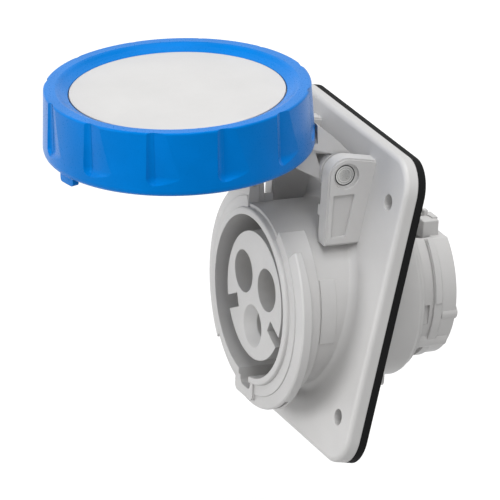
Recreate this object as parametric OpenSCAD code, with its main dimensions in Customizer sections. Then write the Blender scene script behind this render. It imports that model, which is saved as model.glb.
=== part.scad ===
// Panel socket for a three-pin round power plug, sloped 10 degrees, with a
// bayonet lid. The origin is the middle of the fixing holes on the panel's
// face: +X is to the right, -Y comes out of the panel and +Z is up.
//
// Two frames are used. panel_frame() lies on the panel with its Z coming out
// of it. socket_frame() lies on the socket's mouth with its Z pointing out
// along the plug's way and its Y up the mouth. The lid is drawn shut in the
// socket's frame, and opened() swings it about the hinge pin.

/* [Flange] */
// Width of the flange
flange_w = 78; // [74:1:96]
// Height of the flange
flange_h = 87; // [84:1:104]
// Thickness of the flange
flange_t = 3.8; // [3:0.1:5]
// Corner radius of the flange
flange_r = 9; // [6:0.5:10]
// Rounding of the flange's front edge
flange_edge = 1.4; // [0.8:0.1:2]
// Fixing holes, centre to centre across
fix_w = 62; // [60:0.5:66]
// Fixing holes, centre to centre up
fix_h = 61.5; // [60:0.5:72]
// Diameter of a fixing hole
fix_d = 4.4; // [4:0.1:5.5]
// Thickness of the rubber gasket behind the flange
gasket_t = 2.3; // [1.5:0.1:3]

/* [Socket] */
// Slope of the socket
tilt = 10; // [5:1:15]
// How far the mouth's centre stands out of the panel
mouth_out = 24.3; // [23:0.1:28]
// How far the mouth's centre lies below the fixing holes' middle
mouth_drop = 8.8; // [6:0.1:10]
// Inner diameter of the collar that the plug's shroud enters
collar_d = 45; // [44:0.1:47]
// Wall of the collar
collar_wall = 2.8; // [2.4:0.1:3.2]
// Length of the collar from its mouth to its rear rim
collar_l = 40.5; // [38:0.5:46]
// Depth of the plug shroud's way
shroud_way = 34; // [32:0.5:34]
// Width of the keyway at six o'clock
key_w = 6.4; // [5:0.1:7]
// Depth of the keyway in the collar's wall
key_t = 4; // [3:0.1:4.5]
// Height of the sealing lip in front of the bayonet bands
lip_l = 2; // [1.4:0.1:2.6]

/* [Bayonet bands] */
// Outer diameter of the bands
band_d = 62.4; // [60:0.1:62.6]
// Width of the cam part of a band
band_l = 2.7; // [2:0.1:3]
// Outer diameter of the shoulder that carries the bands
shoulder_d = 55; // [53:0.1:55.4]
// Where the shoulder ends behind the mouth
shoulder_end = 8.8; // [7:0.1:10]

/* [Hinge] */
// Height of the pin above the socket's axis, square to that axis
hinge_up = 39.9; // [39:0.1:42]
// Distance of the pin behind the mouth
hinge_back = 17.5; // [16.5:0.1:18.5]
// Diameter of the hinge pin
pin_d = 6; // [4:0.1:6.4]
// Clear width between the ears
ear_gap = 30; // [26:0.5:34]
// Thickness of an ear
ear_t = 5; // [4:0.1:6]
// Radius of an ear's round top
ear_r = 5.2; // [4.8:0.1:5.6]
// Distance of the ears' front edge behind the mouth
ear_front = 12.3; // [12:0.1:12.6]
// Distance of the ears' foot above the socket's axis
ear_foot = 20.4; // [18:0.1:24]
// Width of the step round the pin's end
pin_step = 0.65; // [0.4:0.05:0.8]
// How far the lid stands open at rest
lid_open = 85; // [0:1:105]

/* [Lid] */
// Diameter of the lid's raised middle
disc_d = 57.8; // [56:0.1:58]
// Distance of the lid's outer face in front of the mouth
disc_front = 7.55; // [7.2:0.05:7.6]
// Thickness of the lid's rim
rim_t = 2.4; // [2:0.1:2.6]
// Height of the lid's rim above the mouth
rim_back = 3.1; // [3:0.1:3.4]
// Width of the lid's rubber ring
lid_seal_w = 5; // [4:0.1:5.5]

/* [Bayonet ring] */
// Outer diameter of the ring at its lower edge
ring_d = 72.8; // [72:0.1:74]
// Height of the ring
ring_l = 17.7; // [17:0.1:18]
// Wall of the ring
ring_wall = 2.8; // [2.4:0.1:3]
// Number of finger flutes
flutes = 12; // [8:1:16]
// Depth of a flute
flute_t = 1.3; // [0.6:0.1:1.5]
// Angle that a bayonet lug covers
lug_arc = 18; // [12:1:20]

/* [Contacts] */
// Diameter of the contact carrier's face
face_d = 35.6; // [35:0.1:36.4]
// Distance of the face behind the mouth
face_back = 1.7; // [1:0.1:3]
// Radius of the contacts' circle
pitch_r = 8.8; // [8.6:0.1:9.2]
// Diameter of the openings in the face
hole_d = 11.8; // [11:0.1:12]
// Diameter of a live plug pin
live_pin_d = 5; // [4.5:0.1:5]
// Diameter of the earth plug pin
earth_pin_d = 7; // [6:0.1:7]

/* [Rear] */
// Diameter of the terminal housing
rear_d = 40.4; // [39:0.1:41]
// Diameter of its raised band
rear_band_d = 42; // [41.4:0.1:43]
// Where the rear cover ends behind the mouth
rear_end = 52.8; // [52:0.1:56]
// Height of the flat top above the socket's axis
rear_flat = 16.3; // [15.8:0.1:17]

/* [Hidden] */
$fn = 96;

// Fits and clearances
run_gap = 0.05;      // a shaft in its hole
seat_gap = 0.1;      // a piece in its seat
swing_gap = 0.4;     // a moving piece past its neighbour
over = 1;            // how far a cutter runs past the face that it cuts

// Collar
collar_r = collar_d / 2;
barrel_r = collar_r + collar_wall;
band_r = band_d / 2;
shoulder_r = shoulder_d / 2;
lip_r = barrel_r - 0.9;
rim_round = 1.2;             // rounding of the collar's rear rim
key_r = collar_r + key_t;
key_x = -0.3;
key_wall = 3.2;              // wall beside and under the keyway
key_thin = 1.7;              // wall between the keyway and the right band
band_start = 48;             // clock angle where a band begins
band_end = 184;              // where the right band meets the keyway
groove_from = 90;            // where a band's groove begins, after its start
groove_w = 1;
groove_t = 1.5;
left_band_end = 346;         // the left band stops short of the lid's tongue
stop_l = 4.2;                // length of the stop wall at that end
shoulder_start = 31;
shoulder_front = 1.2;
lead_slope = 3.8;            // slope of the lead-in that meets a lug

// Flange
flange_front = gasket_t + flange_t;
foot_blend = 3;              // rounding where the collar leaves the flange
nib_t = 1.2;
ear_edge = 0.45;             // step that softens an ear's outline
pocket_t = 1;                // depth of the ears' pockets
pocket_rim = 1.7;

// Lid and ring, measured in front of the mouth
ring_top = disc_front + 1.65;
ring_bottom = ring_top - ring_l;
ring_r = ring_d / 2;
ring_in = ring_r - ring_wall;
ring_top_r = ring_r - 0.65;
flute_scoop = 2.6;             // rounding of a flute's end and steep side
flute_foot = 3.1;            // plain edge below a flute
flute_fade = 19;             // angle over which a flute fades out
nub_l = 2;                   // index nub under the ring's edge
nub_w = 6.2;
nub_clock = 170;
rim_r = ring_in - 0.2;
bead_r = rim_r - 0.45;
disc_r = disc_d / 2;
lug_in = shoulder_r + 1.7;
lug_front = -(lip_l + band_l) - 0.3;
apron_out = bead_r - 0.25;
apron_in = band_r + 0.5;
apron_from = -36;
apron_to = 4;
arm_w = ear_gap - 0.6;
arm_under = 28.4;            // the arm's inner edge above the socket's axis
knuckle_r = ear_r + 0.3;
arm_step = nib_t + 0.1;
arm_pocket = 4.5;
seal_in = collar_r - 1.2;

// Contacts: clock angles of line, neutral and earth
LINE = -60;
NEUTRAL = 60;
EARTH = 180;
hole_r = hole_d / 2;
ledge = shroud_way + 2;      // front face of the collar's inner ledge
ledge_t = 2.5;
ledge_r = face_d / 2 + 0.3;
sleeve_start = 9;
funnel_r = earth_pin_d / 2 + 0.25;
funnel_l = 3;
sleeve_wall = 1.15;
spring_t = 0.7;
spring_l = 2.4;
block_w = 9;
block_start = collar_l + 1.3;
block_l = 9;
screw_r = 2;
screw_head_r = 3.3;
screw_head_t = 2.2;

// Rear
rear_r = rear_d / 2;
rear_band_r = rear_band_d / 2;
rear_band_start = 46;
rear_band_l = 2.4;
cover_t = 1.6;
cover_skirt = 1.3;
fasten_x = 12.6;             // places of the two carrier screws
fasten_y = -7.6;

// ---- Frames -----------------------------------------------------------

module panel_frame() { rotate([90, 0, 0]) children(); }

module socket_frame() {
    translate([0, -mouth_out, -mouth_drop]) rotate([90 + tilt, 0, 0]) children();
}

// Turns children about the hinge pin, in the socket's frame
module opened() {
    translate([0, hinge_up, -hinge_back]) rotate([-lid_open, 0, 0])
        translate([0, -hinge_up, hinge_back]) children();
}

// Places children at a clock angle, seen from the front, and a radius
module at_clock(angle, radius = 0) {
    rotate([0, 0, -angle]) translate([0, radius, 0]) children();
}

// A sector of a ring between two clock angles, from a depth to a depth
module ring_sector(from, to, r_in, r_out, z_low, z_high) {
    rotate([0, 0, 90 - to]) rotate_extrude(angle = to - from)
        translate([r_in, z_low]) square([r_out - r_in, z_high - z_low]);
}

// Draws a profile whose x is the height over the axis and whose y is Z
module across(width) {
    translate([-width / 2, 0, 0]) rotate([90, 0, 90])
        linear_extrude(width) children();
}

// ---- Flange -----------------------------------------------------------

// Profile of the flange's rounded edge, from the corner's centre outwards
module edge_profile(reach) {
    square([reach - flange_edge, flange_t]);
    square([reach, flange_t - flange_edge]);
    intersection() {
        translate([reach - flange_edge, flange_t - flange_edge]) circle(flange_edge);
        square([reach, flange_t]);
    }
}

// Plate with round corners and a rounded front edge
module flange_plate() {
    straight_w = flange_w - 2 * flange_r;
    straight_h = flange_h - 2 * flange_r;
    for (side = [0, 1]) rotate([0, 0, 180 * side]) {
        translate([straight_w / 2, straight_h / 2, 0])
            rotate_extrude(angle = 90) edge_profile(flange_r);
        translate([-straight_w / 2, straight_h / 2, 0])
            rotate([0, 0, 90]) rotate_extrude(angle = 90) edge_profile(flange_r);
        translate([straight_w / 2, straight_h / 2, 0]) rotate([90, 0, 0])
            linear_extrude(straight_h) edge_profile(flange_r);
        translate([-straight_w / 2, straight_h / 2, 0]) rotate([90, 0, 90])
            linear_extrude(straight_w) edge_profile(flange_r);
    }
    translate([-straight_w / 2, -straight_h / 2, 0])
        cube([straight_w, straight_h, flange_t]);
}

module fixing_holes(diameter) {
    for (x = [-1, 1], y = [-1, 1])
        translate([x * fix_w / 2, y * fix_h / 2, -over])
            cylinder(d = diameter, h = flange_front + 2 * over);
}

module rounded_outline(w, h, r) {
    translate([-w / 2 + r, -h / 2]) square([w - 2 * r, h]);
    translate([-w / 2, -h / 2 + r]) square([w, h - 2 * r]);
    for (x = [-1, 1], y = [-1, 1])
        translate([x * (w / 2 - r), y * (h / 2 - r)]) circle(r);
}

// ---- Front housing ----------------------------------------------------

// Everything that the collar adds outside its bore
module collar_outside() {
    translate([0, 0, -collar_l]) rotate_extrude() polygon([
        [collar_r - 1, 0],
        [barrel_r - rim_round, 0],
        [barrel_r - 0.3 * rim_round, 0.3 * rim_round],
        [barrel_r, rim_round],
        [barrel_r, collar_l - shoulder_front - 0.4],
        [lip_r, collar_l - shoulder_front - 0.4],
        [lip_r, collar_l - 0.5],
        [lip_r - 0.15, collar_l - 0.15],
        [lip_r - 0.5, collar_l],
        [collar_r - 1, collar_l]]);
    ring_sector(shoulder_start, left_band_end - 1, collar_r + 1, shoulder_r,
        -shoulder_end, -shoulder_front);
    bayonet_band(band_start, band_end);
    bayonet_band(band_start + 180, left_band_end);
    ring_sector(left_band_end - 4, left_band_end - 0.5, collar_r + 1, band_r - 0.1,
        -lip_l - stop_l, -lip_l - 0.1);
    // Wall round the keyway
    key_slot(key_x - key_w / 2 - key_wall, key_x + key_w / 2 + key_thin,
        key_r + key_wall - 0.4, -collar_l, -0.6);
}

// A cam band with a lead-in for the lug, and a groove in its outer face that
// runs out at its far end
module bayonet_band(from, to) {
    difference() {
        rotate([0, 0, 90 - to]) rotate_extrude(angle = to - from)
            polygon([
                [collar_r + 1, -lip_l - band_l],
                [band_r, -lip_l - band_l],
                [band_r, -lip_l - 0.4],
                [band_r - 0.4, -lip_l],
                [lip_r + 0.6, -shoulder_front + 0.1],
                [collar_r + 1, -shoulder_front + 0.1]]);
        at_clock(from) translate([0, 0, -lip_l - band_l + 0.8]) rotate([0, lead_slope, 0])
            translate([-3, collar_r, -4]) cube([3 + 12, band_r, 4]);
        ring_sector(from + groove_from, to + 1, band_r - groove_t, band_r + over,
            -lip_l - 0.9 - groove_w, -lip_l - 0.9);
    }
}

// A straight rib or slot at six o'clock with rounded outer corners
module key_slot(x_from, x_to, reach, z_low, z_high) {
    corner = 1.6;
    translate([0, 0, z_low]) linear_extrude(z_high - z_low) {
        translate([x_from, -reach + corner])
            square([x_to - x_from, reach - corner - collar_r + 3]);
        translate([x_from + corner, -reach])
            square([x_to - x_from - 2 * corner, reach - collar_r + 3]);
        for (x = [x_from + corner, x_to - corner]) translate([x, -reach + corner])
            circle(corner);
    }
}

// Side view of an ear in the socket's frame
module ear_side(inset = 0) {
    slope = [-sin(tilt), -cos(tilt)];
    top = [hinge_up, -hinge_back] + (ear_r - inset) * [cos(tilt), -sin(tilt)];
    reach = mouth_out;
    polygon([
        [ear_foot + inset, -ear_front - inset],
        [hinge_up, -ear_front - inset],
        top,
        top + reach * slope,
        [ear_foot + inset, -ear_front - reach]]);
    translate([hinge_up, -hinge_back]) circle(ear_r - inset);
}

// Outline of the pocket in an ear, under the pin
module ear_pocket_side() {
    slope = [-sin(tilt), -cos(tilt)];
    back = -hinge_back - (mouth_out - flange_front) * 0.24;
    top = hinge_up - ear_r;
    bottom = ear_foot + pocket_rim + 0.6;
    soft = 0.4;
    offset(soft, $fn = 16) offset(-soft, $fn = 16) polygon([
        [bottom, -ear_front - pocket_rim],
        [top, -ear_front - pocket_rim],
        [top, back + 1.6],
        [bottom, back + 1.6 + (top - bottom) * sin(tilt)]]);
}

// Nib on the right ear's inner face that keeps the shut lid's arm in place
module ear_nib() {
    translate([ear_gap / 2 - nib_t, ear_foot + 7.2, -ear_front - 2.6]) cube([nib_t + 1, 3, 2.4]);
    translate([ear_gap / 2 - 0.6 * nib_t, ear_foot + 5.8, -ear_front - 2.2])
        cube([nib_t + 0.6, 2, 1.6]);
}

module ears() {
    difference() {
        union() {
            for (side = [-1, 1]) translate([side * (ear_gap + ear_t) / 2, 0, 0]) {
                across(ear_t - 2 * ear_edge) ear_side();
                across(ear_t) ear_side(ear_edge);
            }
            ear_nib();
        }
        // The pin's bore, its stepped ends and the pockets
        hinge_line(pin_d / 2 + run_gap / 2, ear_gap + 2 * ear_t + 2 * over);
        for (side = [-1, 1]) {
            translate([side * (ear_gap / 2 + ear_t), 0, 0])
                hinge_line(pin_d / 2 + pin_step, 2.4);
            translate([side * (ear_gap / 2 + ear_t), 0, 0])
                across(2 * pocket_t) ear_pocket_side();
        }
    }
}

// A cylinder along the hinge line, centred on the middle plane
module hinge_line(radius, length) {
    translate([-length / 2, hinge_up, -hinge_back]) rotate([0, 90, 0])
        cylinder(r = radius, h = length);
}

// Concave rounding where the collar leaves the flange
module collar_foot() {
    mid = mouth_out - flange_front - foot_blend / 2;
    sunk = 0.3;                  // keeps the upper edge inside the sloping wall
    translate([0, mid * tan(tilt) - mouth_drop, flange_front])
        rotate_extrude() difference() {
            translate([barrel_r - 1.4, -1])
                square([1.4 + foot_blend - sunk, foot_blend + 1]);
            translate([barrel_r + foot_blend - sunk, foot_blend]) circle(foot_blend);
        }
}

module front_housing() {
    color("gainsboro") difference() {
        union() {
            panel_frame() translate([0, 0, gasket_t]) flange_plate();
            socket_frame() collar_outside();
            panel_frame() collar_foot();
            intersection() {
                socket_frame() ears();
                panel_frame() translate([-flange_w / 2, 0, flange_front - 1])
                    cube([flange_w, flange_h, mouth_out]);
            }
        }
        socket_frame() {
            translate([0, 0, -ledge]) cylinder(r = collar_r, h = ledge + over);
            translate([0, 0, -ledge - ledge_t - over])
                cylinder(r = ledge_r, h = ledge_t + 2 * over);
            translate([0, 0, -collar_l - over])
                cylinder(r = collar_r, h = collar_l - ledge - ledge_t + over);
            key_slot(key_x - key_w / 2, key_x + key_w / 2, key_r, -ledge, over);
        }
        panel_frame() fixing_holes(fix_d);
    }
}

module flange_gasket() {
    clear = 1.3;
    half_w = key_w / 2 + key_wall + clear - key_x;
    color([0.06, 0.06, 0.06]) panel_frame() difference() {
        linear_extrude(gasket_t) rounded_outline(flange_w, flange_h, flange_r);
        translate([0, -mouth_drop + mouth_out * tan(tilt), -over]) {
            cylinder(r = barrel_r + clear, h = gasket_t + 2 * over);
            translate([-half_w, -key_r - key_wall - clear, 0])
                cube([2 * half_w, key_r, gasket_t + 2 * over]);
        }
        fixing_holes(fix_d);
    }
}

// ---- Contact carrier and seal -----------------------------------------

// The two slots in the face, beside the earth opening
module face_slots() {
    slot_w = 3.8;
    slot_in = 11.4;
    for (angle = [-115.6, 115.6]) at_clock(angle)
        translate([-slot_w / 2, slot_in, -face_back - 12])
            cube([slot_w, face_d / 2 - slot_in + over, 12 + over]);
}

module contact_carrier() {
    color("lightgray") socket_frame() difference() {
        union() {
            translate([0, 0, -block_start + 0.2])
                cylinder(r = face_d / 2, h = block_start - 0.2 - face_back);
            translate([0, 0, -ledge + 0.1]) cylinder(r = collar_r - 0.3, h = 1.9);
        }
        for (angle = [LINE, NEUTRAL]) at_clock(angle, pitch_r)
            translate([0, 0, -collar_l - 5]) cylinder(r = hole_r, h = collar_l + 5);
        // The earth opening is a funnel that widens again for its sleeve
        at_clock(EARTH, pitch_r) {
            translate([0, 0, -face_back - funnel_l])
                cylinder(r1 = funnel_r, r2 = hole_r, h = funnel_l);
            translate([0, 0, -face_back - funnel_l - 3]) cylinder(r = funnel_r, h = 4);
            translate([0, 0, -collar_l - 5]) cylinder(r = hole_r, h = collar_l - 1);
            translate([0, 0, -face_back - 0.001]) cylinder(r = hole_r, h = over);
        }
        face_slots();
        // Groove of the sealing ring and holes of the two screws
        translate([0, 0, -ledge]) rotate_extrude()
            translate([seal_mid - 0.95, -0.1]) square([1.9, 1.2]);
        for (side = [-1, 1]) translate([side * fasten_x, fasten_y, -collar_l - 5])
            cylinder(r = 1.45, h = 20);
    }
}

seal_mid = (ledge_r + collar_r) / 2;

module carrier_seal() {
    color([0.12, 0.12, 0.12]) socket_frame() translate([0, 0, -ledge + 0.05])
        rotate_extrude() translate([seal_mid - 0.8, 0]) square([1.6, 1]);
}

// ---- Contacts, springs, clamps and screws ------------------------------

// A turned sleeve, slit at its mouth, with a square terminal behind it
module contact(pin) {
    bore = pin / 2 + run_gap;
    sleeve = bore + sleeve_wall;
    collar_start = sleeve_start + 8;
    difference() {
        union() {
            translate([0, 0, -collar_start]) cylinder(r = sleeve, h = collar_start - sleeve_start);
            translate([0, 0, -block_start]) cylinder(r = hole_r - seat_gap, h = block_start - collar_start);
            translate([-block_w / 2, -block_w / 2, -block_start - block_l])
                cube([block_w, block_w, block_l]);
        }
        translate([0, 0, -block_start + 4]) cylinder(r = bore, h = block_start);
        for (turn = [0, 90]) rotate([0, 0, turn])
            translate([-sleeve - over, -0.3, -collar_start + 1])
                cube([2 * (sleeve + over), 0.6, collar_start]);
        // Wire way from behind, and the screw's hole from outside
        translate([-2.7, -2.7, -block_start - block_l - over])
            cube([5.4, 5.4, block_l - 1 + over]);
        translate([0, 0, -block_start - block_l / 2]) rotate([-90, 0, 0])
            cylinder(r = screw_r, h = block_w);
    }
}

// An open ring that presses the slit sleeve together
module contact_ring(pin) {
    sleeve = pin / 2 + run_gap + sleeve_wall;
    rotate([0, 0, 20]) translate([0, 0, -sleeve_start - 1 - spring_l])
        rotate_extrude(angle = 330) translate([sleeve + 0.03, 0]) square([spring_t, spring_l]);
}

// The plate between the screw's tip and the wire
module clamp() {
    translate([-2.6, 1.5, -block_start - block_l + 1])
        cube([5.2, 1, block_l - 2.2]);
}

// A clamp screw whose tip stands on the plate
module clamp_screw() {
    translate([0, 0, -block_start - block_l / 2]) rotate([-90, 0, 0]) difference() {
        union() {
            translate([0, 0, 2.55]) cylinder(r = screw_r - run_gap, h = 3.2);
            translate([0, 0, 5.2]) cylinder(r = screw_head_r, h = screw_head_t);
        }
        translate([-screw_head_r, -0.5, 5.2 + screw_head_t - 1.1])
            cube([2 * screw_head_r, 1, 1.2]);
    }
}

// The terminal of each pole faces up for line and neutral, down for earth
module at_pole(angle) {
    x = pitch_r * sin(angle);
    y = pitch_r * cos(angle);
    translate([x, y, 0]) rotate([0, 0, y < 0 ? 180 : 0]) children();
}

module line_contact() { color("goldenrod") socket_frame() at_pole(LINE) contact(live_pin_d); }
module neutral_contact() { color("goldenrod") socket_frame() at_pole(NEUTRAL) contact(live_pin_d); }
module earth_contact() { color("goldenrod") socket_frame() at_pole(EARTH) contact(earth_pin_d); }
module line_spring() { color("silver") socket_frame() at_pole(LINE) contact_ring(live_pin_d); }
module neutral_spring() { color("silver") socket_frame() at_pole(NEUTRAL) contact_ring(live_pin_d); }
module earth_spring() { color("silver") socket_frame() at_pole(EARTH) contact_ring(earth_pin_d); }
module line_clamp() { color("silver") socket_frame() at_pole(LINE) clamp(); }
module neutral_clamp() { color("silver") socket_frame() at_pole(NEUTRAL) clamp(); }
module earth_clamp() { color("silver") socket_frame() at_pole(EARTH) clamp(); }

module terminal_screws() {
    color("silver") socket_frame() for (angle = [LINE, NEUTRAL, EARTH])
        at_pole(angle) clamp_screw();
}

// ---- Rear ---------------------------------------------------------------

// Cuts what lies over the flat top
module under_flat(z_low, z_high) {
    translate([-rear_band_r - over, -rear_band_r - over, z_low])
        cube([2 * (rear_band_r + over), rear_band_r + over + rear_flat, z_high - z_low]);
}

module terminal_housing() {
    cover_start = rear_band_start + rear_band_l;
    color("gainsboro") socket_frame() difference() {
        union() {
            intersection() {
                union() {
                    translate([0, 0, -rear_band_start]) cylinder(r = rear_r, h = rear_band_start - ledge - ledge_t);
                    translate([0, 0, -cover_start]) cylinder(r = rear_band_r, h = rear_band_l);
                }
                under_flat(-rear_end, -ledge);
            }
            intersection() {
                translate([0, 0, -rear_end + cover_t + seat_gap])
                    cylinder(r = rear_r - cover_skirt - seat_gap, h = rear_end - cover_t - cover_start);
                translate([0, -cover_skirt - seat_gap, 0]) under_flat(-rear_end, -ledge);
            }
            translate([0, 0, -collar_l - 1.1]) cylinder(r = collar_r + 1.4, h = 1);
            // Hook on the flat top
            translate([4, rear_flat - 1, -cover_start]) cube([4.5, 1 + 4.6, rear_band_l]);
            translate([4, rear_flat + 3, -rear_end + 1.4]) cube([4.5, 1.6, rear_end - cover_start - 1.3]);
        }
        translate([0, 0, -block_start]) cylinder(r = face_d / 2 + seat_gap, h = block_start);
        for (angle = [LINE, NEUTRAL, EARTH]) at_pole(angle) {
            translate([-block_w / 2 - seat_gap, -block_w / 2 - seat_gap, -rear_end])
                cube([block_w + 2 * seat_gap, block_w + 2 * seat_gap, rear_end - block_start + over]);
            translate([0, 0, -block_start - block_l / 2]) rotate([-90, 0, 0])
                cylinder(r = screw_head_r + 0.25, h = rear_band_r + over);
        }
        for (side = [-1, 1]) translate([side * fasten_x, fasten_y, 0]) {
            translate([0, 0, -rear_end]) cylinder(r = 1.7, h = rear_end - ledge);
            translate([0, 0, -rear_end]) cylinder(r = 2.9, h = 4.4);
        }
        // Latch windows beside the band
        for (side = [0, 180]) rotate([0, 0, side])
            translate([rear_r - 1, side ? -0.2 : -5.6, -rear_band_start + 1]) cube([3, 5.8, 2]);
    }
}

module carrier_screws() {
    head_back = -rear_end + 4.4;
    color("silver") socket_frame() for (side = [-1, 1])
        translate([side * fasten_x, fasten_y, 0]) difference() {
            union() {
                translate([0, 0, head_back]) cylinder(r = 1.4, h = 16);
                translate([0, 0, head_back - 1.8]) cylinder(r = 2.7, h = 1.8);
            }
            for (turn = [0, 90]) rotate([0, 0, turn])
                translate([-1.7, -0.35, head_back - 1.9]) cube([3.4, 0.7, 1.1]);
        }
}

module rear_cover() {
    start = rear_band_start + rear_band_l + 0.1;
    color("gainsboro") socket_frame() difference() {
        union() {
            intersection() {
                translate([0, 0, -rear_end]) cylinder(r = rear_r + 0.3, h = rear_end - start);
                under_flat(-rear_end, 0);
            }
            // Round mouths of the wire ways
            for (angle = [LINE, NEUTRAL, EARTH]) at_pole(angle)
                translate([0, 0, -rear_end - 1]) cylinder(r = 4.6, h = 1 + over);
        }
        intersection() {
            translate([0, 0, -rear_end + cover_t])
                cylinder(r = rear_r - cover_skirt, h = rear_end);
            translate([0, -cover_skirt, 0]) under_flat(-rear_end, 0);
        }
        for (angle = [LINE, NEUTRAL, EARTH]) at_pole(angle)
            translate([0, 0, -rear_end - 2]) cylinder(r = 2.9, h = 2 + cover_t + over);
        for (side = [-1, 1]) translate([side * fasten_x, fasten_y, -rear_end - over])
            cylinder(r = 2.9, h = cover_t + 2 * over);
    }
}

// ---- Lid, ring and pin ---------------------------------------------------

module hinge_pin() {
    color("silver") socket_frame()
        hinge_line(pin_d / 2, ear_gap + 2 * ear_t - 2.4);
}

// Side view of the arm between the lid and the pin
module arm_side() {
    polygon([
        [arm_under, ring_bottom - swing_gap],
        [arm_under, -15.5],
        [hinge_up - knuckle_r * 0.94, -hinge_back - knuckle_r * 0.36],
        [hinge_up, -hinge_back],
        [hinge_up + knuckle_r * 0.72, -hinge_back + knuckle_r * 0.69],
        [hinge_up + 0.6, -9.6],
        [hinge_up - 2.6, -6.4],
        [34.2, -3.6],
        [32.4, -2.7],
        [arm_under, -2.7]]);
    translate([hinge_up, -hinge_back]) circle(knuckle_r);
}

module lid_arm() {
    difference() {
        across(arm_w) arm_side();
        // Room for the ring above, and for the collar within
        translate([0, 0, ring_bottom - swing_gap]) cylinder(r = ring_r + swing_gap + 0.2, h = ring_l);
        translate([0, 0, -hinge_back - 2 * knuckle_r]) cylinder(r = shoulder_r + 0.8, h = 40);
        hinge_line(pin_d / 2 + run_gap, arm_w + 2 * over);
        for (side = [-1, 1]) arm_recess(side);
    }
}

// Cored-out side of the arm: a shallow step under the plate and a deep pocket
// beside the knuckle
module arm_recess(side) {
    translate([side * arm_w / 2, 0, 0]) difference() {
        union() {
            across(2 * arm_step) polygon([
                [arm_under - over, -10.2],
                [32.6, -10.4],
                [39.9, -13.2],
                [35.4, -23],
                [arm_under - over, -23]]);
            across(2 * arm_pocket) polygon([
                [33.9, -11.9],
                [39.9, -13.6],
                [39.9, -20],
                [35.3, -17.2]]);
        }
        hinge_line(knuckle_r - 0.3, arm_w);
    }
}

module lid() {
    tongue_low = ring_bottom - swing_gap - 2.6;
    color("whitesmoke") socket_frame() opened() {
        difference() {
            union() {
                translate([0, 0, rim_back]) cylinder(r = disc_r, h = disc_front - rim_back);
                translate([0, 0, rim_back]) cylinder(r = rim_r, h = rim_t);
                // Skirts that hold the rubber ring
                translate([0, 0, 0.6]) cylinder(r = seal_in + lid_seal_w + 1.6, h = rim_back);
            }
            translate([0, 0, 0.5]) cylinder(r = seal_in + lid_seal_w, h = rim_back - 0.5);
            translate([0, 0, rim_back - over]) cylinder(r = seal_in - 1.6, h = over + 1.6);
        }
        difference() {
            translate([0, 0, 0.6]) cylinder(r = seal_in, h = rim_back - 0.5);
            translate([0, 0, 0.5]) cylinder(r = seal_in - 1.6, h = rim_back + 1.2);
        }
        ring_sector(apron_from, apron_to, apron_in, apron_out, tongue_low, rim_back + 0.1);
        lid_arm();
    }
}

module lid_seal() {
    color([0.1, 0.1, 0.1]) socket_frame() opened()
        translate([0, 0, 0.25]) rotate_extrude()
            translate([seal_in + 0.05, 0]) square([lid_seal_w - 0.1, rim_back - 0.3]);
}

// Cross-section of the ring, from its inner lip round to the bead
module ring_section() {
    lip_under = rim_back + rim_t + 0.2;
    polygon([
        [disc_r + 0.3, lip_under],
        [disc_r + 0.3, disc_front - 0.1],
        [disc_r + 1.3, disc_front + 0.3],
        [disc_r + 2.3, disc_front + 0.8],
        [disc_r + 3.1, ring_top - 0.25],
        [disc_r + 3.7, ring_top],
        [ring_top_r - 0.5, ring_top],
        [ring_top_r - 0.15, ring_top - 0.15],
        [ring_top_r, ring_top - 0.5],
        [ring_r, ring_bottom + 1.6],
        [ring_r - 0.15, ring_bottom + 0.8],
        [ring_r - 0.6, ring_bottom + 0.25],
        [ring_r - 1.4, ring_bottom],
        [ring_in, ring_bottom],
        [ring_in, rim_back - 1],
        [bead_r, rim_back - 0.55],
        [bead_r, rim_back - 0.15],
        [ring_in, rim_back - 0.15],
        [ring_in, lip_under]]);
}

// One finger flute: a round-ended groove on its steep side, which fades out
// on the other. It opens through the top and ends in a scoop above the edge.
module flute() {
    half_w = sqrt(2 * flute_scoop * flute_t - flute_t * flute_t);
    end_z = ring_bottom + flute_foot + half_w;
    // The fading face is part of a round wall whose axis lies off the ring's
    rim = ring_r + 0.1;
    deep = ring_r - flute_t - 0.06;
    axis_r = (rim * rim - deep * deep) / (2 * (rim - deep * cos(flute_fade)));
    rotate([0, 0, asin(half_w / ring_r)]) {
        translate([ring_r - flute_t + flute_scoop, 0, end_z]) {
            sphere(flute_scoop);
            cylinder(r = flute_scoop, h = ring_l);
        }
        difference() {
            rotate_extrude(angle = flute_fade) translate([deep - 1, end_z - flute_scoop])
                square([flute_t + 3, ring_l]);
            rotate([0, 0, flute_fade]) translate([axis_r, 0, 0]) rotate_extrude()
                fading_wall(rim - axis_r, end_z);
        }
    }
}

// Half-section of what a flute's fading side leaves standing: a round wall
// that flares out below the scoop
module fading_wall(wall_r, end_z) {
    difference() {
        translate([0, end_z - flute_scoop - 1])
            square([wall_r + flute_scoop, ring_l + flute_scoop + 2]);
        translate([wall_r, end_z]) square([flute_scoop + over, ring_l + 2]);
        translate([wall_r + flute_scoop, end_z]) circle(flute_scoop);
    }
}

// Round-cornered nub under the ring's lower edge
module index_nub() {
    corner = 0.8;
    foot = 1;                        // how far the nub reaches into the ring
    intersection() {
        ring_sector(nub_clock - 8, nub_clock + 8, ring_in + 0.3, ring_r - 0.7,
            ring_bottom - nub_l - over, ring_bottom + foot);
        at_clock(nub_clock) translate([0, 0, ring_bottom - nub_l]) rotate([-90, 180, 0])
            linear_extrude(ring_r) {
                translate([-nub_w / 2, corner]) square([nub_w, nub_l + 0.6 - corner]);
                translate([-nub_w / 2 + corner, 0]) square([nub_w - 2 * corner, nub_l + 0.6]);
                for (side = [-1, 1]) translate([side * (nub_w / 2 - corner), corner])
                    circle(corner);
            }
    }
}

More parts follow.
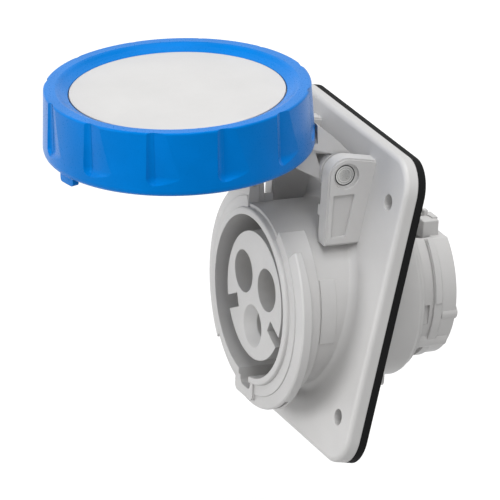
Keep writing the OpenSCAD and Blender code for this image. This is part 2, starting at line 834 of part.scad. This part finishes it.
module bayonet_ring() {
    steep = -97;                     // place of a flute's steep side
    lug_mid = 24.5;
    color("dodgerblue") socket_frame() opened() {
        difference() {
            rotate_extrude() ring_section();
            for (k = [0 : flutes - 1]) rotate([0, 0, steep + k * 360 / flutes]) flute();
        }
        for (turn = [0, 180])
            ring_sector(lug_mid - lug_arc / 2 + turn, lug_mid + lug_arc / 2 + turn,
                lug_in, ring_in + 0.5, ring_bottom + 0.3, lug_front);
        // Index nub under the ring's lower edge
        index_nub();
    }
}

front_housing();
flange_gasket();
contact_carrier();
carrier_seal();
line_contact();
neutral_contact();
earth_contact();
line_spring();
neutral_spring();
earth_spring();
line_clamp();
neutral_clamp();
earth_clamp();
terminal_screws();
terminal_housing();
carrier_screws();
rear_cover();
hinge_pin();
lid();
lid_seal();
bayonet_ring();
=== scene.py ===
# %% [markdown]
# A panel socket is a moulded housing that screws to the wall of a distribution board. A hinged
# lid with a turning ring closes it against water. Nearly all of its shapes were drawn as solids,
# so this script mostly dresses them: it loads the solids, gives each one the material that the
# real piece is made of, adds a few small mouldings, lights everything softly and looks at it
# from the front and the right.

# %% Load the solids
import math

import bmesh
import bpy
from mathutils import Matrix, Vector


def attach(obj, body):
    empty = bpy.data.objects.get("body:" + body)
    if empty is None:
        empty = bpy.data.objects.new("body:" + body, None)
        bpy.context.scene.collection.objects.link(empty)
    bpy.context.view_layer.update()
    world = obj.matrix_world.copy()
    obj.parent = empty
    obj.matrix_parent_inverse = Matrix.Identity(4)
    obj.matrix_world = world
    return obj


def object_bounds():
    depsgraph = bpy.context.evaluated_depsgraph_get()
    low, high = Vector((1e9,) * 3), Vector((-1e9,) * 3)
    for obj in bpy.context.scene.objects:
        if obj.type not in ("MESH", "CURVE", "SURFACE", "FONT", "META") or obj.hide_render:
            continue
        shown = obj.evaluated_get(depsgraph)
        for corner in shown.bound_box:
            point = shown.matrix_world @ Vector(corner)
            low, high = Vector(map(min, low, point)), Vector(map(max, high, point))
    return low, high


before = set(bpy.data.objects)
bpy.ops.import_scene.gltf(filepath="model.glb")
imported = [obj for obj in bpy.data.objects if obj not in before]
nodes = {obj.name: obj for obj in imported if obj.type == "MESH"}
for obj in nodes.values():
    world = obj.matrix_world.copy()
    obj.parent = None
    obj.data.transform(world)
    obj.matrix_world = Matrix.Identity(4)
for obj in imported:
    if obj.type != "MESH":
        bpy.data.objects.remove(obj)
solid_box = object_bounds()
print("pieces:", len(nodes), "box in mm:", [round(1000 * c, 1) for p in solid_box for c in p])

# %% [markdown]
# Colours are easiest to think of as hex values, as a paint or plastics chart prints them. The
# shaders work with linear light, so one function turns the first into the second.

# %% Colours
def linear(hex_colour):
    """An sRGB hex colour as linear red, green, blue and alpha."""
    channels = [int(hex_colour[i:i + 2], 16) / 255 for i in (1, 3, 5)]
    return [c / 12.92 if c <= 0.04045 else ((c + 0.055) / 1.055) ** 2.4 for c in channels] + [1.0]


MM = 0.001
print("mid grey in linear light:", [round(c, 3) for c in linear("#808080")])

# %% [markdown]
# A material is a small tree of nodes. One function adds a node, sets its values and makes its
# links, so that each finish below reads as a list of what it is made of.

# %% One helper for every node
def add_node(tree, kind, settings=None, links=None, **values):
    """Adds a node: settings are its properties, values its sockets and links what feeds them."""
    node = tree.nodes.new(kind)
    for name, value in (settings or {}).items():
        setattr(node, name, value)
    for name, value in values.items():
        node.inputs[name.replace("_", " ")].default_value = value
    for name, source in (links or {}).items():
        tree.links.new(source, node.inputs[name])
    return node


def new_material(name, **surface):
    """A material with one Principled surface, whose plain values are set on its own sockets."""
    material = bpy.data.materials.new(name)
    material.use_nodes = True
    tree = material.node_tree
    tree.nodes.clear()
    shader = add_node(tree, "ShaderNodeBsdfPrincipled", **surface)
    add_node(tree, "ShaderNodeOutputMaterial", links={"Surface": shader.outputs["BSDF"]})
    return material, tree, shader


print("helpers ready")

# %% [markdown]
# The housing, its rear cover, the lid and the ring are polyamide 6 with glass fibre, and the
# contact carrier and the terminal housing are polyamide 66. All are moulded in tools whose steel
# was spark-eroded to a fine matt grain. That gives the eye a soft, wide highlight, edges with a
# small radius that catch the light, and a very faint cloud where the melt flowed. The grain is
# really about 0.1 mm, too fine to show, so it is drawn at about four times that.

# %% Moulded polyamide
SPARK_GRAIN = 0.45 * MM
FLOW_CLOUD = 14 * MM
EDGE_RADIUS = 0.35 * MM
# Noise seldom leaves this span, so the span is spread over the whole range of gloss.
NOISE_LOW, NOISE_HIGH = 0.3, 0.7


def moulded_polyamide(name, light, shade, rough, grain_height):
    """Moulded plastic: two close tones for the flow of the melt, and the tool's matt grain."""
    material, tree, shader = new_material(name, Roughness=rough, IOR=1.53)
    place = add_node(tree, "ShaderNodeTexCoord")
    cloud = add_node(tree, "ShaderNodeTexNoise", Scale=1 / FLOW_CLOUD, Detail=3.0, Roughness=0.55,
                     links={"Vector": place.outputs["Object"]})
    tone = add_node(tree, "ShaderNodeValToRGB", links={"Fac": cloud.outputs["Fac"]})
    tone.color_ramp.elements[0].position = 0.35
    tone.color_ramp.elements[1].position = 0.68
    tone.color_ramp.elements[0].color = linear(shade)
    tone.color_ramp.elements[1].color = linear(light)
    grain = add_node(tree, "ShaderNodeTexNoise", Scale=1 / SPARK_GRAIN, Detail=2.0, Roughness=0.6,
                     links={"Vector": place.outputs["Object"]})
    gloss = add_node(tree, "ShaderNodeMapRange", From_Min=NOISE_LOW, From_Max=NOISE_HIGH,
                     To_Min=rough - 0.05, To_Max=rough + 0.06,
                     links={"Value": grain.outputs["Fac"]})
    soft_edge = add_node(tree, "ShaderNodeBevel", {"samples": 6}, Radius=EDGE_RADIUS)
    bump = add_node(tree, "ShaderNodeBump", Strength=0.25, Distance=grain_height,
                    links={"Height": grain.outputs["Fac"], "Normal": soft_edge.outputs["Normal"]})
    tree.links.new(tone.outputs["Color"], shader.inputs["Base Color"])
    tree.links.new(gloss.outputs["Result"], shader.inputs["Roughness"])
    tree.links.new(bump.outputs["Normal"], shader.inputs["Normal"])
    return material


DEEP_GRAIN, SHALLOW_GRAIN = 0.03 * MM, 0.02 * MM
grey_housing = moulded_polyamide("light_grey_moulded_PA6", "#c8c7c6", "#c4c3c2", 0.42, DEEP_GRAIN)
grey_insert = moulded_polyamide("grey_moulded_PA66_insert", "#c9c8c7", "#c3c2c1", 0.45,
                                DEEP_GRAIN)
grey_terminal = moulded_polyamide("grey_moulded_PA66_terminal_block", "#c8c7c6", "#c1c0bf", 0.45,
                                  DEEP_GRAIN)
# The ring is glossier. A plastic's shine is really white, but here the ring's is halved and
# tinted blue, because the all-white room would wash its colour out.
blue_ring = moulded_polyamide("blue_moulded_PA6", "#0076cc", "#0070c2", 0.3, SHALLOW_GRAIN)
ring_surface = blue_ring.node_tree.nodes["Principled BSDF"].inputs
ring_surface["Specular IOR Level"].default_value = 0.25
ring_surface["Specular Tint"].default_value = linear("#1f8fe6")
print("plastics:", [m.name for m in (grey_housing, grey_insert, grey_terminal, blue_ring)])

# %% [markdown]
# The flange gasket and the lid's seal are EPDM rubber, pressed from sheet or moulded. Rubber is
# nearly black, takes hardly any highlight, and a new one has a faint grey bloom. Its open grain
# is too fine to show at its real size, so it is drawn coarser, at 0.6 mm.

# %% EPDM rubber
RUBBER_GRAIN = 0.6 * MM
RUBBER_RELIEF = 0.05 * MM
BLOOM_PATCH = 9 * MM


def rubber(name, black, bloom):
    """Matt rubber: a bloom in wide soft patches over a fine open grain."""
    material, tree, shader = new_material(name, Roughness=0.85, IOR=1.52, Specular_IOR_Level=0.2)
    place = add_node(tree, "ShaderNodeTexCoord")
    patch = add_node(tree, "ShaderNodeTexNoise", Scale=1 / BLOOM_PATCH, Detail=4.0,
                     links={"Vector": place.outputs["Object"]})
    tone = add_node(tree, "ShaderNodeValToRGB", links={"Fac": patch.outputs["Fac"]})
    tone.color_ramp.elements[0].position = 0.4
    tone.color_ramp.elements[1].position = 0.75
    tone.color_ramp.elements[0].color = linear(black)
    tone.color_ramp.elements[1].color = linear(bloom)
    grain = add_node(tree, "ShaderNodeTexNoise", Scale=1 / RUBBER_GRAIN, Detail=3.0,
                     links={"Vector": place.outputs["Object"]})
    bump = add_node(tree, "ShaderNodeBump", Strength=0.4, Distance=RUBBER_RELIEF,
                    links={"Height": grain.outputs["Fac"]})
    tree.links.new(tone.outputs["Color"], shader.inputs["Base Color"])
    tree.links.new(bump.outputs["Normal"], shader.inputs["Normal"])
    return material


black_rubber = rubber("black_EPDM", "#060607", "#0f0f10")
grey_rubber = rubber("dark_grey_EPDM_seal", "#3a3b3c", "#4a4b4c")
print("rubbers:", black_rubber.name, grey_rubber.name)

# %% [markdown]
# The metal pieces are small: nickel-plated brass contacts, stainless springs and hinge pin, and
# zinc-plated steel screws and clamps. Each keeps the default index of refraction, because a
# metal's colour comes from its base colour. What tells them apart is the tint and how clear
# the reflection is, with fine marks left by drawing, turning or tumbling. Those are too fine to
# show at their real size, so they are drawn about a quarter of a millimetre apart.

# %% Plated and bare metals
MACHINE_MARK = 0.25 * MM
PLATING_CLOUD = 5 * MM


def metal(name, bright, dull, rough, mark_height):
    """Metal with a slightly uneven plating tone and the fine marks of its making."""
    material, tree, shader = new_material(name, Metallic=1.0, Roughness=rough)
    place = add_node(tree, "ShaderNodeTexCoord")
    cloud = add_node(tree, "ShaderNodeTexNoise", Scale=1 / PLATING_CLOUD, Detail=3.0,
                     links={"Vector": place.outputs["Object"]})
    tone = add_node(tree, "ShaderNodeValToRGB", links={"Fac": cloud.outputs["Fac"]})
    tone.color_ramp.elements[0].position = 0.3
    tone.color_ramp.elements[1].position = 0.7
    tone.color_ramp.elements[0].color = linear(dull)
    tone.color_ramp.elements[1].color = linear(bright)
    marks = add_node(tree, "ShaderNodeTexNoise", Scale=1 / MACHINE_MARK, Detail=2.0,
                     links={"Vector": place.outputs["Object"]})
    gloss = add_node(tree, "ShaderNodeMapRange", From_Min=NOISE_LOW, From_Max=NOISE_HIGH,
                     To_Min=rough - 0.06, To_Max=rough + 0.1,
                     links={"Value": marks.outputs["Fac"]})
    bump = add_node(tree, "ShaderNodeBump", Strength=0.2, Distance=mark_height,
                    links={"Height": marks.outputs["Fac"]})
    tree.links.new(tone.outputs["Color"], shader.inputs["Base Color"])
    tree.links.new(gloss.outputs["Result"], shader.inputs["Roughness"])
    tree.links.new(bump.outputs["Normal"], shader.inputs["Normal"])
    return material


nickel_brass = metal("nickel_plated_brass", "#c9c2b4", "#b8b1a3", 0.28, 0.01 * MM)
spring_steel = metal("stainless_spring_steel", "#b9b9b6", "#a6a6a3", 0.32, 0.01 * MM)
zinc_steel = metal("zinc_plated_steel", "#c3c7cb", "#adb1b6", 0.34, 0.015 * MM)
print("metals:", [m.name for m in (nickel_brass, spring_steel, zinc_steel)])

# %% [markdown]
# The hinge pin is drawn stainless bar with turned ends. They show fine rings round the axis, and
# a dark ring just inside the rim is painted shade, standing for the shadow of the step round the
# pin's end. The rings depend on nothing but the distance from the axis, so that is measured as a
# share of the pin's radius and read off a ramp. The same ramp lifts and sinks the surface a
# little.

# %% Stainless hinge pin
PIN_ROUGH = 0.3
RING_RELIEF = 0.05 * MM
# The two darkest tones, at 0.89 and 0.96, are painted shade: a dark ring that stands for the
# shadow of the step round the pin's end. The other tones are the turned rings.
TURNED_RINGS_AND_PAINTED_SHADE = ((0.56, "#bcbcba"), (0.62, "#e0e0de"), (0.68, "#a8a8a6"), (0.84, "#dededc"),
                (0.89, "#3a3a39"), (0.96, "#2e2e2d"))
PIN_MIDDLE = Vector((0, -13.994, 33.533)) * MM
PIN_R = 3 * MM

pin_steel, tree, shader = new_material("drawn_stainless_steel", Metallic=1.0, Roughness=PIN_ROUGH)
place = add_node(tree, "ShaderNodeTexCoord")
marks = add_node(tree, "ShaderNodeTexNoise", Scale=1 / MACHINE_MARK, Detail=2.0,
                 links={"Vector": place.outputs["Object"]})
gloss = add_node(tree, "ShaderNodeMapRange", From_Min=NOISE_LOW, From_Max=NOISE_HIGH,
                 To_Min=PIN_ROUGH - 0.06, To_Max=PIN_ROUGH + 0.1,
                 links={"Value": marks.outputs["Fac"]})
from_axis = add_node(tree, "ShaderNodeVectorMath", {"operation": "SUBTRACT"},
                     links={"Vector": place.outputs["Object"]})
from_axis.inputs[1].default_value = PIN_MIDDLE
across_pin = add_node(tree, "ShaderNodeVectorMath", {"operation": "MULTIPLY"},
                      links={"Vector": from_axis.outputs["Vector"]})
across_pin.inputs[1].default_value = (0, 1 / PIN_R, 1 / PIN_R)
reach = add_node(tree, "ShaderNodeVectorMath", {"operation": "LENGTH"},
                 links={"Vector": across_pin.outputs["Vector"]})
turned_and_painted_shade = add_node(tree, "ShaderNodeValToRGB", links={"Fac": reach.outputs["Value"]})
turned_and_painted_shade.color_ramp.elements[0].color = linear("#b4b4b2")
turned_and_painted_shade.color_ramp.elements[1].color = linear("#e2e2e0")
for share, tone in TURNED_RINGS_AND_PAINTED_SHADE:
    turned_and_painted_shade.color_ramp.elements.new(share).color = linear(tone)
rings = add_node(tree, "ShaderNodeBump", Strength=0.5, Distance=RING_RELIEF,
                 links={"Height": turned_and_painted_shade.outputs["Color"]})
tree.links.new(turned_and_painted_shade.outputs["Color"], shader.inputs["Base Color"])
tree.links.new(gloss.outputs["Result"], shader.inputs["Roughness"])
tree.links.new(rings.outputs["Normal"], shader.inputs["Normal"])
print("pin:", pin_steel.name, "with", len(TURNED_RINGS_AND_PAINTED_SHADE), "tones between middle and rim")

# %% [markdown]
# Each solid now gets the finish of the real piece. The poles' pieces carry the pole's name in
# front, so the three of a kind are dressed in one go.

# %% Dress every solid
FINISH = {
    "front_housing": grey_housing,
    "lid": grey_housing,
    "rear_cover": grey_housing,
    "contact_carrier": grey_insert,
    "terminal_housing": grey_terminal,
    "bayonet_ring": blue_ring,
    "flange_gasket": black_rubber,
    "lid_seal": grey_rubber,
    "carrier_seal": grey_rubber,
    "hinge_pin": pin_steel,
    "carrier_screws": zinc_steel,
    "terminal_screws": zinc_steel,
}
for pole in ("line", "neutral", "earth"):
    FINISH[pole + "_contact"] = nickel_brass
    FINISH[pole + "_spring"] = spring_steel
    FINISH[pole + "_clamp"] = zinc_steel

for name, solid in nodes.items():
    solid.data.materials.clear()
    solid.data.materials.append(FINISH[name])
print("dressed:", len(FINISH), "kinds on", len(nodes), "solids")

# %% [markdown]
# A few small mouldings stand on the housing's skin. They carry no load and nothing fits to them,
# so they are drawn here: the thin grip panels on the collar's sides, the raised ends of the
# terminal housing's band, the round ribs over the rear cover's latches, and the hook and finger
# on its flat top. All lie in the socket's own frame, which leans back by its slope: an outline
# is given across and up the mouth, and it reaches from a depth behind the mouth to another.
# All sizes here are in millimetres, and a clock angle of 0 is at twelve o'clock.

# %% Small mouldings on the housing
SLOPE = math.radians(10)
MOUTH = Vector((0, -24.3, -8.8)) * MM
OUT_OF_MOUTH = Vector((0, -math.cos(SLOPE), -math.sin(SLOPE)))
UP_THE_MOUTH = Vector((0, -math.sin(SLOPE), math.cos(SLOPE)))
COLLAR_R, REAR_R, FLAT_TOP = 25.3, 20.2, 16.3
SUNK, BLOCK_SUNK = 0.5, 1
RIB_REACH = REAR_R - 1.3
RIB_STEPS = 40
BEVEL_STEPS, BEVEL_FROM = 3, math.radians(40)


def in_socket(across, upward, depth):
    """A place in the socket's frame as a place in the part's frame, in metres."""
    return MOUTH + (Vector((across, 0, 0)) + UP_THE_MOUTH * upward - OUT_OF_MOUTH * depth) * MM


def on_clock(angle, radius):
    """Across and up of a point at a clock angle in degrees and a radius."""
    return radius * math.sin(math.radians(angle)), radius * math.cos(math.radians(angle))


def band_outline(start, end, inner, outer):
    """The outline of a piece of a ring between two clock angles."""
    steps = max(2, int(abs(end - start)))
    angles = [start + (end - start) * i / steps for i in range(steps + 1)]
    return [on_clock(a, outer) for a in angles] + [on_clock(a, inner) for a in reversed(angles)]


def rib_outline(clock, radius):
    """A circle whose middle lies at a clock angle, just under the rear's skin."""
    across, upward = on_clock(clock, RIB_REACH)
    turns = [math.tau * i / RIB_STEPS for i in range(RIB_STEPS)]
    return [(across + radius * math.sin(t), upward + radius * math.cos(t)) for t in turns]


def block_outline(left, right, height):
    """A rectangle that stands on the rear's flat top."""
    low, high = FLAT_TOP - BLOCK_SUNK, FLAT_TOP + height
    return [(left, low), (right, low), (right, high), (left, high)]


def moulding(name, outline, front, rear, edge):
    """Draws an outline's solid between two depths, rounds it and fixes it to the housing."""
    count = len(outline)
    places = [in_socket(x, y, depth) for depth in (front, rear) for x, y in outline]
    sides = [(i, (i + 1) % count, (i + 1) % count + count, i + count) for i in range(count)]
    caps = [tuple(reversed(range(count))), tuple(range(count, 2 * count))]
    mesh = bpy.data.meshes.new(name)
    mesh.from_pydata(places, [], sides + caps)
    shape = bmesh.new()
    shape.from_mesh(mesh)
    bmesh.ops.recalc_face_normals(shape, faces=shape.faces)
    shape.to_mesh(mesh)
    shape.free()
    piece = bpy.data.objects.new(name, mesh)
    bpy.context.scene.collection.objects.link(piece)
    rounding = piece.modifiers.new("rounded_edges", "BEVEL")
    rounding.width, rounding.segments = edge * MM, BEVEL_STEPS
    rounding.limit_method, rounding.angle_limit = "ANGLE", BEVEL_FROM
    mesh.materials.append(grey_housing)
    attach(piece, "housing")
    return piece


mouldings = []
for side, sign in (("right", 1), ("left", -1)):
    grip = band_outline(sign * 62, sign * 103, inner=COLLAR_R - SUNK, outer=COLLAR_R + 0.3)
    band = band_outline(sign * 38, sign * 88, inner=REAR_R - SUNK, outer=REAR_R + 1.25)
    upper_rib = rib_outline(sign * 99, radius=2)
    lower_rib = rib_outline(sign * 126, radius=2.7)
    mouldings += [
        moulding(side + "_grip_panel", grip, front=10, rear=14.6, edge=0.1),
        moulding(side + "_band_end", band, front=46.2, rear=48.2, edge=0.15),
        moulding(side + "_upper_rib", upper_rib, front=48.6, rear=53.5, edge=0.4),
        moulding(side + "_lower_rib", lower_rib, front=40.5, rear=52.2, edge=0.4),
    ]
hook = block_outline(left=5.5, right=10, height=4.3)
finger = block_outline(left=3.9, right=5.6, height=5.8)
mouldings += [
    moulding("latch_hook", hook, front=46.5, rear=51.2, edge=0.3),
    moulding("latch_finger", finger, front=48.6, rear=49.9, edge=0.3),
]
print("mouldings:", [piece.name for piece in mouldings])

# %% [markdown]
# The socket is made to be fixed in a panel, so it doesn't stand on anything. A plain pale floor
# lies a little below it and takes its shadow. The floor is a white diffuse sheet, and to the
# camera and in reflections it also shines a little, so that it reads as white paper and only the
# shadow is grey. Far out, where the lamps fall off, it shines more, so that no horizon shows.

# %% Floor
FLOOR_DROP = 0.05
FLOOR_HALF = 6.0
NEAR_GLOW, FAR_GLOW = 0.55, 0.95
GLOW_FROM, GLOW_TO = 0.25, 1.4


def pale_floor(height):
    """A wide white sheet that shows as white and still takes a shadow."""
    mesh = bpy.data.meshes.new("floor")
    corners = [(x * FLOOR_HALF, y * FLOOR_HALF, height) for x, y in
               ((-1, -1), (1, -1), (1, 1), (-1, 1))]
    mesh.from_pydata(corners, [], [(0, 1, 2, 3)])
    floor = bpy.data.objects.new("floor", mesh)
    bpy.context.scene.collection.objects.link(floor)
    material = bpy.data.materials.new("white_paper")
    material.use_nodes = True
    tree = material.node_tree
    tree.nodes.clear()
    paper = add_node(tree, "ShaderNodeBsdfDiffuse", Color=linear("#c4c4c4"))
    place = add_node(tree, "ShaderNodeTexCoord")
    away = add_node(tree, "ShaderNodeVectorMath", {"operation": "LENGTH"},
                    links={"Vector": place.outputs["Object"]})
    level = add_node(tree, "ShaderNodeMapRange", From_Min=GLOW_FROM, From_Max=GLOW_TO,
                     To_Min=NEAR_GLOW, To_Max=FAR_GLOW, links={"Value": away.outputs["Value"]})
    glow = add_node(tree, "ShaderNodeEmission", links={"Strength": level.outputs["Result"]})
    ray = add_node(tree, "ShaderNodeLightPath")
    seen = add_node(tree, "ShaderNodeMath", {"operation": "MAXIMUM"})
    tree.links.new(ray.outputs["Is Camera Ray"], seen.inputs[0])
    tree.links.new(ray.outputs["Is Glossy Ray"], seen.inputs[1])
    both = add_node(tree, "ShaderNodeAddShader")
    tree.links.new(paper.outputs["BSDF"], both.inputs[0])
    tree.links.new(glow.outputs["Emission"], both.inputs[1])
    mix = add_node(tree, "ShaderNodeMixShader", links={"Fac": seen.outputs["Value"]})
    tree.links.new(paper.outputs["BSDF"], mix.inputs[1])
    tree.links.new(both.outputs["Shader"], mix.inputs[2])
    add_node(tree, "ShaderNodeOutputMaterial", links={"Surface": mix.outputs["Shader"]})
    mesh.materials.append(material)


floor_height = solid_box[0].z - FLOOR_DROP
pale_floor(floor_height)
print("floor at mm:", round(floor_height / MM, 1))

# %% [markdown]
# The camera stands far off with a long lens, as for a catalogue, to the right of the socket's
# front and a little above it, and it is rolled so that the flange leans as it does in the hand.
# Its place is given by where it stands, how far it has gone round and up, and its roll.

# %% Camera
CAMERA_PLACE = Vector((1.31240, -0.72894, 0.43400))
CAMERA_ROUND = math.radians(61.86)
CAMERA_UP = math.radians(16.10)
CAMERA_ROLL = math.radians(12.79)
CAMERA_LENS, SENSOR = 412.3, 36
NEAREST, FARTHEST = 0.1, 50

back = Vector((math.sin(CAMERA_ROUND) * math.cos(CAMERA_UP),
               -math.cos(CAMERA_ROUND) * math.cos(CAMERA_UP),
               math.sin(CAMERA_UP)))
level = Vector((math.cos(CAMERA_ROUND), math.sin(CAMERA_ROUND), 0))
upright = back.cross(level)
right = math.cos(CAMERA_ROLL) * level + math.sin(CAMERA_ROLL) * upright
up = back.cross(right)

lens = bpy.data.cameras.new("camera")
lens.lens, lens.sensor_width = CAMERA_LENS, SENSOR
lens.clip_start, lens.clip_end = NEAREST, FARTHEST
camera = bpy.data.objects.new("camera", lens)
turn = Matrix((right, up, back)).transposed().to_4x4()
camera.matrix_world = Matrix.Translation(CAMERA_PLACE) @ turn
bpy.context.scene.collection.objects.link(camera)
bpy.context.scene.camera = camera
print("camera stands", round(CAMERA_PLACE.length, 2), "m away")

# %% [markdown]
# Soft light makes matt plastic look like plastic. One large lamp stands straight in front of the
# socket, one nearly overhead and one high on its right, a little to the front. The lamps are
# plain white, at a level at which a face toward the front renders about as its colour was
# written. The disc of the lid comes out lighter.

# %% Lamps
LAMP_SIZE, LAMP_DISTANCE = 0.7, 1.3


def soft_lamp(name, direction, power):
    """A square area lamp that looks at the socket from a direction."""
    light = bpy.data.lights.new(name, "AREA")
    light.shape = "SQUARE"
    light.size = LAMP_SIZE
    light.energy = power
    lamp = bpy.data.objects.new(name, light)
    toward = Vector(direction).normalized()
    middle = (solid_box[0] + solid_box[1]) / 2
    lamp.location = middle + toward * LAMP_DISTANCE
    lamp.rotation_mode = "QUATERNION"
    lamp.rotation_quaternion = (-toward).to_track_quat("-Z", "Y")
    bpy.context.scene.collection.objects.link(lamp)
    return lamp


lamps = [
    soft_lamp("front_lamp", direction=(0.0, -1.0, 0.0), power=11.5),
    soft_lamp("top_lamp", direction=(0.0, -0.2, 0.98), power=8.0),
    soft_lamp("side_lamp", direction=(0.56, -0.32, 0.77), power=6.4),
]
print("lamps:", [(lamp.name, lamp.data.energy) for lamp in lamps])

# %% [markdown]
# The room is a plain white all round. It lights the socket at less than half strength, but the
# camera and the reflections see it at full strength, as they would a studio's white paper.

# %% Room
AMBIENT = 0.43

world = bpy.data.worlds.new("studio")
bpy.context.scene.world = world
world.use_nodes = True
room = world.node_tree
room.nodes.clear()
sky = add_node(room, "ShaderNodeBackground", Color=linear("#ffffff"), Strength=AMBIENT)
paper_white = add_node(room, "ShaderNodeBackground", Color=linear("#ffffff"), Strength=1.0)
ray = add_node(room, "ShaderNodeLightPath")
seen = add_node(room, "ShaderNodeMath", {"operation": "MAXIMUM"})
shiny = add_node(room, "ShaderNodeMath", {"operation": "MAXIMUM"})
room.links.new(ray.outputs["Is Glossy Ray"], shiny.inputs[0])
room.links.new(ray.outputs["Is Transmission Ray"], shiny.inputs[1])
room.links.new(ray.outputs["Is Camera Ray"], seen.inputs[0])
room.links.new(shiny.outputs["Value"], seen.inputs[1])
backdrop = add_node(room, "ShaderNodeMixShader", links={"Fac": seen.outputs["Value"]})
room.links.new(sky.outputs["Background"], backdrop.inputs[1])
room.links.new(paper_white.outputs["Background"], backdrop.inputs[2])
add_node(room, "ShaderNodeOutputWorld", links={"Surface": backdrop.outputs["Shader"]})
bpy.context.scene.view_settings.view_transform = "Standard"
print("room light:", AMBIENT)
